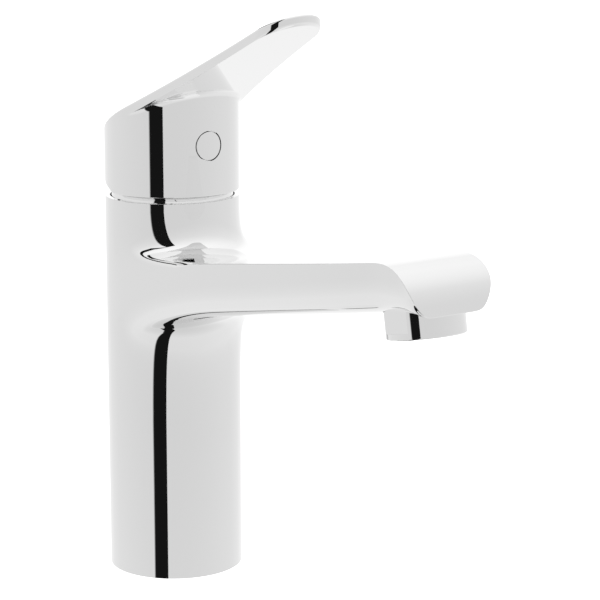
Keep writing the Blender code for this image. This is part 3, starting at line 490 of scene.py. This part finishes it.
# %% Outline of the lever
LEVER_AT_AXIS = 0.1594
LEVER_SLOPE = 0.482
LEVER_THICKNESS = 0.0036
SIDE_START = math.radians(14.6)
SIDE_CURVE = 1.4
TIP_CENTRE = 0.0654
SKIRT_WALL = 0.0021
CEILING = 0.1430
REAR_CUT_START = 0.0010
REAR_CUT_TILT = math.tan(math.radians(17.0))
SIDE_POINTS = 14
TIP_POINTS = 48
REAR_POINTS = 80


def lever_top(forward):
    """The lever's flat top, which rises towards the tip."""
    return LEVER_AT_AXIS + LEVER_SLOPE * forward


def lever_half_width(forward):
    """The lever's side leaves the skirt along its tangent and curves gently to the tip."""
    past = forward - COLUMN_RADIUS * math.sin(SIDE_START)
    return COLUMN_RADIUS * math.cos(SIDE_START) - math.tan(SIDE_START) * past + SIDE_CURVE * past**2


def lever_outline():
    """Side and forward distances along the lever, from one tangent point round the tip to the other."""
    start = COLUMN_RADIUS * math.sin(SIDE_START)
    radius = lever_half_width(TIP_CENTRE)
    sides = [start + (TIP_CENTRE - start) * index / SIDE_POINTS for index in range(SIDE_POINTS)]
    near = [Vector((-lever_half_width(forward), forward)) for forward in sides]
    turns = [math.pi * index / TIP_POINTS for index in range(TIP_POINTS + 1)]
    tip = [Vector((-radius * math.cos(turn), TIP_CENTRE + radius * math.sin(turn))) for turn in turns]
    far = [Vector((-place.x, place.y)) for place in reversed(near)]
    return near + tip + far


def skirt_ring(radius):
    """The skirt's circle, with a partner for each point of the lever's outline and then the rear points."""
    reach = math.pi / 2 - SIDE_START
    count = 2 * SIDE_POINTS + TIP_POINTS + 1
    turns = [-reach + 2 * reach * index / (count - 1) for index in range(count)]
    turns += [reach + (math.tau - 2 * reach) * index / REAR_POINTS for index in range(1, REAR_POINTS)]
    return [Vector((radius * math.sin(turn), radius * math.cos(turn))) for turn in turns]


def skirt_bottom(forward):
    """The skirt's lower edge, which is cut back at the rear so that the lever can lift."""
    return skirt_low.z + max(0.0, -forward - REAR_CUT_START) * REAR_CUT_TILT


def ring_at(places, height):
    """A ring through plan places at a height that may depend on the forward distance."""
    return [point(place.x, place.y, height(place.y)) for place in places]


print("lever's tip:", round(TIP_CENTRE + lever_half_width(TIP_CENTRE), 4))

# %% [markdown]
# A soft edge is a quarter circle drawn in a few steps. Its radius shrinks where the lever has hardly left
# the skirt, so the edges start from nothing and grow along the lever's sides.

# %% Sections of the handle
LIP_ROUND = 0.0004
HOLLOW_ROUND = 0.00175
LOWER_EDGE = 0.0010
UPPER_EDGE = 0.0012
SUPPORT = 0.0008
LARGEST_SHARE = 0.45
RING_GAP = 0.00002
ARC_STEPS = 5
ARC = [math.radians(90.0) * index / ARC_STEPS for index in range(ARC_STEPS + 1)]


def outward(places):
    """The outward direction at each place of a closed plan."""
    after = places[1:] + places[:1]
    before = places[-1:] + places[:-1]
    return [Vector((back.y - ahead.y, ahead.x - back.x)).normalized() for back, ahead in zip(before, after)]


def handle_sections():
    """Rings from the skirt's ceiling, round its lower edge and out along the lever, to the lever's top."""
    inner = skirt_ring(COLUMN_RADIUS - SKIRT_WALL)
    outer = skirt_ring(COLUMN_RADIUS)
    outline = lever_outline()
    plan = outline + outer[len(outline):]
    away = outward(plan)
    gaps = [far - near for near, far in zip(outer, plan)]

    def lever_floor(forward):
        return lever_top(forward) - LEVER_THICKNESS

    def arc_ring(limit, across, rise):
        """A ring whose places and heights follow a quarter circle of at most this radius."""
        ring = []
        for near, gap in zip(outer, gaps):
            radius = min(limit, LARGEST_SHARE * gap.length)
            reach = across(radius, gap.length)
            place = near + (gap.normalized() * reach if gap.length > RING_GAP / 2 else Vector((0, 0)))
            ring.append(point(place.x, place.y, lever_floor(place.y) + rise(radius)))
        return ring

    sections = [ring_at(inner, lambda forward: CEILING)]
    sections.append(ring_at(inner, lambda forward: skirt_bottom(forward) + LIP_ROUND))
    sections.append(ring_at(skirt_ring(COLUMN_RADIUS - SKIRT_WALL + LIP_ROUND), skirt_bottom))
    for turn in ARC:
        ring = skirt_ring(COLUMN_RADIUS - LIP_ROUND + LIP_ROUND * math.sin(turn))
        rise = LIP_ROUND * (1 - math.cos(turn))
        sections.append(ring_at(ring, lambda forward: skirt_bottom(forward) + rise))
    for turn in ARC:
        sections.append(arc_ring(
            HOLLOW_ROUND,
            lambda radius, gap: radius * (1 - math.cos(turn)),
            lambda radius: radius * (math.sin(turn) - 1) - RING_GAP,
        ))
    for turn in ARC:
        sections.append(arc_ring(
            LOWER_EDGE,
            lambda radius, gap: gap - radius * (1 - math.sin(turn)),
            lambda radius: radius * (1 - math.cos(turn)) + RING_GAP,
        ))
    for turn in ARC:
        ring = [place - UPPER_EDGE * (1 - math.cos(turn)) * out for place, out in zip(plan, away)]
        drop = UPPER_EDGE * (1 - math.sin(turn))
        sections.append(ring_at(ring, lambda forward: lever_top(forward) - drop))
    ring = [place - (UPPER_EDGE + SUPPORT) * out for place, out in zip(plan, away)]
    sections.append(ring_at(ring, lever_top))
    return sections


handle = piece("handle_casting", drawn(handle_sections()))
print("handle faces:", len(handle.data.polygons))

# %% [markdown]
# A set screw behind a round plug holds the handle on the square stem. The plug's recess, the screw's bore
# and the stem's socket are cut like the real ones, so the pieces inside have room.

# %% Cuts in the handle
SCREW_HEIGHT = 0.1490
PLUG_RADIUS = 0.0048
PLUG_DEPTH = 0.0024
PLUG_BACK_ROOM = 0.0009
PAST_SKIRT = 0.0020
BELOW_CEILING = 0.0010
BORE_SEGMENTS = 48
RECESS_SEGMENTS = 96
stem_low, stem_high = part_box("stem")
screw_low, screw_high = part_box("set_screw")


def drill_forward(name, radius, start, end, segments):
    """A round cutter on the set screw's axis, between two distances forward."""
    bm = bmesh.new()
    place = Matrix.Translation(point(0, (start + end) / 2, SCREW_HEIGHT))
    place = place @ Matrix.Rotation(math.radians(90), 4, "X")
    bmesh.ops.create_cone(
        bm, cap_ends=True, segments=segments, radius1=radius, radius2=radius, depth=end - start,
        matrix=place,
    )
    return piece(name, bm)


def block(name, low, high):
    """A square cutter between two corners."""
    bm = bmesh.new()
    size = high - low
    place = Matrix.Translation((low + high) / 2) @ Matrix.Diagonal((*size, 1.0))
    bmesh.ops.create_cube(bm, size=1.0, matrix=place)
    return piece(name, bm)


room = Vector((1, 1, 0)) * FIT_GAP
socket_low = Vector((stem_low.x, stem_low.x, CEILING - BELOW_CEILING)) - room
socket_high = Vector((stem_high.x, stem_high.x, stem_high.z + FIT_GAP)) + room
carve(handle, block("stem_socket", socket_low, socket_high))
screw_radius = (screw_high.z - screw_low.z) / 2 + FIT_GAP / 2
carve(handle, drill_forward("screw_bore", screw_radius, 0.0, COLUMN_RADIUS, BORE_SEGMENTS))
recess_floor = COLUMN_RADIUS - PLUG_DEPTH - PLUG_BACK_ROOM
recess_mouth = COLUMN_RADIUS + PAST_SKIRT
recess_radius = PLUG_RADIUS + FIT_GAP
carve(handle, drill_forward("plug_recess", recess_radius, recess_floor, recess_mouth, RECESS_SEGMENTS))
weigh(handle)
true_round(handle, COLUMN_RADIUS)
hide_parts("handle")
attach(handle, "lever")

# %% [markdown]
# The plug is a turned button wrapped onto the skirt's curve: it is spun flat, then each point moves out
# by as much as the cylinder does at its distance from the middle.

# %% Index plug
PLUG_EDGE = 0.00025
profile = [(0.0, -PLUG_DEPTH), (PLUG_RADIUS, -PLUG_DEPTH)]
profile += [
    (PLUG_RADIUS - PLUG_EDGE * (1 - math.cos(turn)), -PLUG_EDGE * (1 - math.sin(turn))) for turn in ARC
]
profile += [(PLUG_RADIUS * share, 0.0) for share in (0.8, 0.6, 0.4, 0.2, 0.0)]
button = turned(profile, steps=RECESS_SEGMENTS, closed=False)
for vert in button.verts:
    side, up, height = vert.co
    vert.co = point(side, math.sqrt(COLUMN_RADIUS**2 - side**2) + height, SCREW_HEIGHT + up)
bmesh.ops.recalc_face_normals(button, faces=button.faces)
plug = weigh(piece("plug_button", button))
true_round(plug, COLUMN_RADIUS)
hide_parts("index_plug")
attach(plug, "lever")

# %% [markdown]
# ## Collar
# The collar closes the gap between column and handle. It is a dome about the lever's pivot, so the
# skirt's edge clears it at every lift. It is spun from its wall's outline.

# %% Collar
PIVOT_HEIGHT = 0.1220
DOME_RADIUS = 0.0223
DOME_WALL = 0.0016
COLLAR_RIM = 0.0209
COLLAR_INNER_RIM = 0.0185
COLLAR_NECK = 0.0130
COLLAR_EDGE = 0.0002
OUTER_STEPS = 18
INNER_STEPS = 10
collar_low, collar_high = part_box("cover_ring")


def dome(radius, height_from, height_to, count):
    """Points of a dome about the pivot, as radius and height."""
    heights = [height_from + (height_to - height_from) * index / count for index in range(count + 1)]
    return [(math.sqrt(radius**2 - (height - PIVOT_HEIGHT) ** 2), height) for height in heights]


outer_start = PIVOT_HEIGHT + math.sqrt(DOME_RADIUS**2 - COLLAR_RIM**2)
inner_start = PIVOT_HEIGHT + math.sqrt((DOME_RADIUS - DOME_WALL) ** 2 - COLLAR_INNER_RIM**2)
profile = [(COLLAR_NECK, collar_high.z)]
profile += dome(DOME_RADIUS, collar_high.z, outer_start, OUTER_STEPS)
profile += [(COLLAR_RIM, collar_low.z), (COLLAR_INNER_RIM, collar_low.z)]
profile += dome(DOME_RADIUS - DOME_WALL, inner_start, collar_high.z - DOME_WALL, INNER_STEPS)
profile += [(COLLAR_NECK, collar_high.z - DOME_WALL)]
collar = weigh(soften(piece("collar", turned(profile)), COLLAR_EDGE))
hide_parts("cover_ring")
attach(collar, "body")

# %% [markdown]
# ## Aerator sleeve
# The sleeve under the spout's tip is a turned ring with two flats for a spanner above its plain rim. It
# is spun upright about Z, cut, and only then tilted into the bore.

# %% Aerator sleeve
BORE_RADIUS = 0.0103
LIP_RADIUS = 0.0092
LIP_HEIGHT = 0.0010
FLAT_AT = 0.0110
FLAT_CUT_REACH = 0.0140
FLAT_CUT_TOP = 0.0020
RIM_BAND = 0.0020
SHOULDER = RECESS - 0.0001
THREAD_TOP = 0.0043
RIM_EDGE = 0.0004
SLEEVE_EDGE = 0.00015
profile = [
    (THREAD_RADIUS, THREAD_TOP), (THREAD_RADIUS, SHOULDER), (SLEEVE_RADIUS, SHOULDER),
    (SLEEVE_RADIUS, RIM_EDGE - AERATOR_LENGTH), (SLEEVE_RADIUS - RIM_EDGE, -AERATOR_LENGTH),
    (LIP_RADIUS, -AERATOR_LENGTH), (LIP_RADIUS, LIP_HEIGHT - AERATOR_LENGTH),
    (BORE_RADIUS, LIP_HEIGHT - AERATOR_LENGTH), (BORE_RADIUS, THREAD_TOP),
]
sleeve = piece("aerator_sleeve", turned(profile))
for near, far in ((-FLAT_CUT_REACH, -FLAT_AT), (FLAT_AT, FLAT_CUT_REACH)):
    low = Vector((near, -FLAT_CUT_REACH, RIM_BAND - AERATOR_LENGTH))
    carve(sleeve, block("spanner_flat", low, Vector((far, FLAT_CUT_REACH, FLAT_CUT_TOP))))
soften(sleeve, SLEEVE_EDGE, segments=2)
weigh(sleeve)
true_round(sleeve, SLEEVE_RADIUS)
upright_normals = [corner.vector.copy() for corner in sleeve.data.corner_normals]
sleeve.data.transform(seat)
turn_only = seat.to_3x3()
sleeve.data.normals_split_custom_set([turn_only @ normal for normal in upright_normals])
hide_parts("aerator_housing")
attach(sleeve, "body")

# %% [markdown]
# ## Finishes
# Every finish is a small node material. A Noise texture in object coordinates moves the roughness a
# little, because polishing and handling never leave a surface perfectly even. Chrome is nearly a perfect
# mirror. The metals inside are duller, and the plastics and rubber don't reflect as metals do.

# %% Finishes


def finish(name, colour, roughness, metallic=0.0, unevenness=0.0, grain=60.0, mottle=0.0):
    """A material whose roughness and colour vary softly with the place on the piece."""
    material = bpy.data.materials.new(name)
    material.use_nodes = True
    tree = material.node_tree
    surface = tree.nodes["Principled BSDF"]
    surface.inputs["Metallic"].default_value = metallic
    place = tree.nodes.new("ShaderNodeTexCoord")
    noise = tree.nodes.new("ShaderNodeTexNoise")
    noise.inputs["Scale"].default_value = grain
    noise.inputs["Detail"].default_value = 3.0
    tree.links.new(place.outputs["Object"], noise.inputs["Vector"])
    spread = tree.nodes.new("ShaderNodeMapRange")
    spread.inputs["To Min"].default_value = max(0.0, roughness - unevenness)
    spread.inputs["To Max"].default_value = roughness + unevenness
    tree.links.new(noise.outputs["Fac"], spread.inputs["Value"])
    tree.links.new(spread.outputs["Result"], surface.inputs["Roughness"])
    shade = tree.nodes.new("ShaderNodeMix")
    shade.data_type = "RGBA"
    shade.inputs[6].default_value = (*(value * (1 - mottle) for value in colour), 1.0)
    shade.inputs[7].default_value = (*(min(1.0, value * (1 + mottle)) for value in colour), 1.0)
    tree.links.new(noise.outputs["Fac"], shade.inputs[0])
    tree.links.new(shade.outputs[2], surface.inputs["Base Color"])
    return material


FINISHES = {
    "chrome": finish("polished chrome", (0.885, 0.885, 0.885), 0.03, 1.0, 0.01, 35.0),
    "brass": finish("machined brass", (0.76, 0.57, 0.26), 0.28, 1.0, 0.08, 120.0, 0.06),
    "copper": finish("drawn copper", (0.80, 0.43, 0.30), 0.25, 1.0, 0.08, 90.0, 0.08),
    "steel": finish("stainless steel", (0.62, 0.62, 0.61), 0.30, 1.0, 0.08, 200.0, 0.04),
    "rubber": finish("black rubber", (0.025, 0.025, 0.027), 0.75, 0.0, 0.08, 400.0, 0.15),
    "white_plastic": finish("white plastic", (0.80, 0.80, 0.78), 0.35, 0.0, 0.05, 150.0, 0.02),
    "grey_plastic": finish("grey plastic", (0.30, 0.31, 0.32), 0.50, 0.0, 0.06, 150.0, 0.05),
    "ceramic": finish("ceramic", (0.86, 0.85, 0.82), 0.16, 0.0, 0.04, 80.0, 0.02),
}
FINISH_OF = {
    "base_seal": "rubber", "inlet_block": "brass", "hot_riser": "copper", "cold_riser": "copper",
    "manifold": "brass", "manifold_seal_lower": "rubber", "manifold_seal_upper": "rubber",
    "seat_seal_hot": "rubber", "seat_seal_cold": "rubber", "seat_seal_outlet": "rubber",
    "cartridge_base": "white_plastic", "disc_gasket": "rubber", "fixed_disc": "ceramic",
    "moving_disc": "ceramic", "disc_carrier": "grey_plastic", "cartridge_housing": "white_plastic",
    "rotor": "grey_plastic", "stem_pin": "steel", "stem": "steel", "limit_ring": "grey_plastic",
    "cartridge_nut": "brass", "set_screw": "steel", "aerator_washer": "rubber",
    "aerator_insert": "white_plastic", "aerator_screen": "steel",
}


def dress(target, look):
    """Give a piece one finish."""
    target.data.materials.clear()
    target.data.materials.append(FINISHES[look])


for made in (body, handle, plug, collar, sleeve):
    dress(made, "chrome")
for name, look in FINISH_OF.items():
    dress(nodes[name], look)
print("finishes:", len(FINISHES), "inner nodes dressed:", len(FINISH_OF))

# %% [markdown]
# ## Studio
# Chrome shows nothing but the room, so the room is painted by direction. It is a light grey on the
# camera's side, white behind the tap and whiter overhead. Two ramps do this: one follows the direction
# from front to back and the other follows its height, and the two are multiplied.

# %% Surround
BEARING = math.radians(54.12)
BACK = Vector((math.cos(BEARING), math.sin(BEARING), 0.0))
FRONT_TO_BACK = ((-1.0, 0.72), (-0.3, 0.76), (0.4, 0.80), (0.7, 0.85), (0.87, 0.92), (1.0, 1.10))
LOW_TO_HIGH = ((-1.0, 0.9), (-0.75, 1.1), (-0.45, 1.1), (-0.25, 1.0), (0.1, 1.0), (0.5, 1.1), (1.0, 1.4))
world = bpy.data.worlds.new("studio")
bpy.context.scene.world = world
world.use_nodes = True
tree = world.node_tree
direction = tree.nodes.new("ShaderNodeTexCoord")


def painted(axis, stops):
    """A value that follows the direction's share along an axis, from -1 to 1, through a ramp of stops."""
    share = tree.nodes.new("ShaderNodeVectorMath")
    share.operation = "DOT_PRODUCT"
    share.inputs[1].default_value = axis.normalized()
    tree.links.new(direction.outputs["Generated"], share.inputs[0])
    place = tree.nodes.new("ShaderNodeMapRange")
    place.inputs["From Min"].default_value = -1.0
    tree.links.new(share.outputs["Value"], place.inputs["Value"])
    shade = tree.nodes.new("ShaderNodeValToRGB")
    tree.links.new(place.outputs["Result"], shade.inputs["Fac"])
    while len(shade.color_ramp.elements) < len(stops):
        shade.color_ramp.elements.new(0.5)
    for element, (stop, value) in zip(shade.color_ramp.elements, stops):
        element.position = (stop + 1) / 2
        element.color = (value, value, value, 1.0)
    return shade.outputs["Color"]


glow = tree.nodes.new("ShaderNodeMix")
glow.data_type = "RGBA"
glow.blend_type = "MULTIPLY"
glow.inputs[0].default_value = 1.0
tree.links.new(painted(BACK, FRONT_TO_BACK), glow.inputs[6])
tree.links.new(painted(Vector((0, 0, 1)), LOW_TO_HIGH), glow.inputs[7])
tree.links.new(glow.outputs[2], tree.nodes["Background"].inputs["Color"])
print("surround stops:", len(FRONT_TO_BACK) + len(LOW_TO_HIGH))

# %% [markdown]
# One tall black card stands beside the camera. It draws the dark streaks that make the chrome look like
# metal. Its head and foot bend over and reach backwards, so the streak carries on round the fillets and
# thins out along the edges. Its left edge fades a little, as a soft box does at its border. The card
# starts as a strip of grid whose rows are moved to the places below, each with its own half width.

# %% Card
CARD_BEARING = math.radians(210.5)
CARD_DISTANCE = 0.8
CARD_REACH = 1.4
CARD_FADE = 0.12
CARD_BLACK = 0.008
upright = Vector((math.cos(CARD_BEARING), math.sin(CARD_BEARING), 0.0)) * CARD_DISTANCE
HEAD_ROWS = (
    (Vector((-0.25, 2.80, CARD_REACH)), 0.30),
    (Vector((-0.90, 1.30, CARD_REACH)), 0.28),
    (Vector((-1.15, 0.20, CARD_REACH)), 0.24),
)
UPRIGHT_ROWS = (
    (upright + Vector((0, 0, CARD_REACH)), 0.175),
    (upright - Vector((0, 0, CARD_REACH)), 0.175),
)
FOOT_ROWS = (
    (Vector((-0.30, -0.10, -CARD_REACH)), 0.15),
    (Vector((-0.02, 0.40, -CARD_REACH)), 0.10),
    (Vector((0.04, 1.05, -CARD_REACH)), 0.05),
)
CARD_ROWS = HEAD_ROWS + UPRIGHT_ROWS + FOOT_ROWS
LAST_ROW = len(CARD_ROWS) - 1


def card_across(row):
    """The direction across the card at a row, always with the card's left edge on the same side."""
    if CARD_ROWS[row] in UPRIGHT_ROWS:
        return Vector((-math.sin(CARD_BEARING), math.cos(CARD_BEARING), 0.0))
    onward = CARD_ROWS[min(row + 1, LAST_ROW)][0] - CARD_ROWS[max(row - 1, 0)][0]
    if CARD_ROWS[row] in HEAD_ROWS:
        onward = -onward
    return Vector((onward.y, -onward.x, 0.0)).normalized()


bm = bmesh.new()
bm.loops.layers.uv.new("across")
bmesh.ops.create_grid(bm, x_segments=1, y_segments=LAST_ROW, size=1.0, calc_uvs=True)
for vert in bm.verts:
    row = round((vert.co.y + 1) / 2 * LAST_ROW)
    middle, half_width = CARD_ROWS[row]
    vert.co = middle + card_across(row) * vert.co.x * half_width
card = piece("black_card", bm)
black = bpy.data.materials.new("black card")
black.use_nodes = True
tree = black.node_tree
tree.nodes.remove(tree.nodes["Principled BSDF"])
dark = tree.nodes.new("ShaderNodeEmission")
dark.inputs["Color"].default_value = (CARD_BLACK, CARD_BLACK, CARD_BLACK, 1.0)
clear = tree.nodes.new("ShaderNodeBsdfTransparent")
fade = tree.nodes.new("ShaderNodeMixShader")
place = tree.nodes.new("ShaderNodeTexCoord")
split = tree.nodes.new("ShaderNodeSeparateXYZ")
tree.links.new(place.outputs["UV"], split.inputs["Vector"])
soft_edge = tree.nodes.new("ShaderNodeMapRange")
soft_edge.interpolation_type = "SMOOTHSTEP"
soft_edge.inputs["From Max"].default_value = CARD_FADE
tree.links.new(split.outputs["X"], soft_edge.inputs["Value"])
tree.links.new(soft_edge.outputs["Result"], fade.inputs["Fac"])
tree.links.new(clear.outputs["BSDF"], fade.inputs[1])
tree.links.new(dark.outputs["Emission"], fade.inputs[2])
tree.links.new(fade.outputs["Shader"], tree.nodes["Material Output"].inputs["Surface"])
card.data.materials.append(black)
card.visible_camera = False
card.visible_diffuse = False
card.visible_shadow = False

# %% [markdown]
# The floor is plain and pale, and so bright that only a faint shadow shows at the foot. It is hidden from
# the chrome, which would otherwise mirror its edge as a hard line.

# %% Floor
bm = bmesh.new()
bmesh.ops.create_circle(bm, cap_ends=True, segments=96, radius=40.0)
floor_plane = piece("floor", bm)
pale = finish("pale floor", (0.9, 0.9, 0.9), 0.9, 0.0, 0.02, 3.0)
surface = pale.node_tree.nodes["Principled BSDF"]
surface.inputs["Specular IOR Level"].default_value = 0.0
surface.inputs["Emission Color"].default_value = (1, 1, 1, 1)
surface.inputs["Emission Strength"].default_value = 0.75
floor_plane.data.materials.append(pale)
floor_plane.visible_glossy = False

# %% [markdown]
# A broad lamp overhead gives the duller pieces their light, and the camera stands a little above the tap,
# off to one side, with a long lens that keeps the uprights nearly parallel.

# %% Lamp and camera
lamp_data = bpy.data.lights.new("overhead", "AREA")
lamp_data.size = 1.6
lamp_data.energy = 6.0
lamp = bpy.data.objects.new("overhead", lamp_data)
lamp.location = (0.0, 0.0, 1.8)
lamp.visible_glossy = False
bpy.context.scene.collection.objects.link(lamp)

camera_data = bpy.data.cameras.new("camera")
camera_data.lens = 138.2
camera_data.clip_end = 200.0
camera = bpy.data.objects.new("camera", camera_data)
bpy.context.scene.collection.objects.link(camera)
bpy.context.scene.camera = camera
PITCH = math.radians(11.97)
camera.location = (-0.4196, -0.6543, 0.2574)
look = BACK * math.cos(PITCH) - Vector((0, 0, math.sin(PITCH)))
camera.rotation_euler = look.to_track_quat("-Z", "Y").to_euler()
bpy.context.scene.view_settings.view_transform = "Standard"
print("camera looks along", [round(value, 3) for value in look])
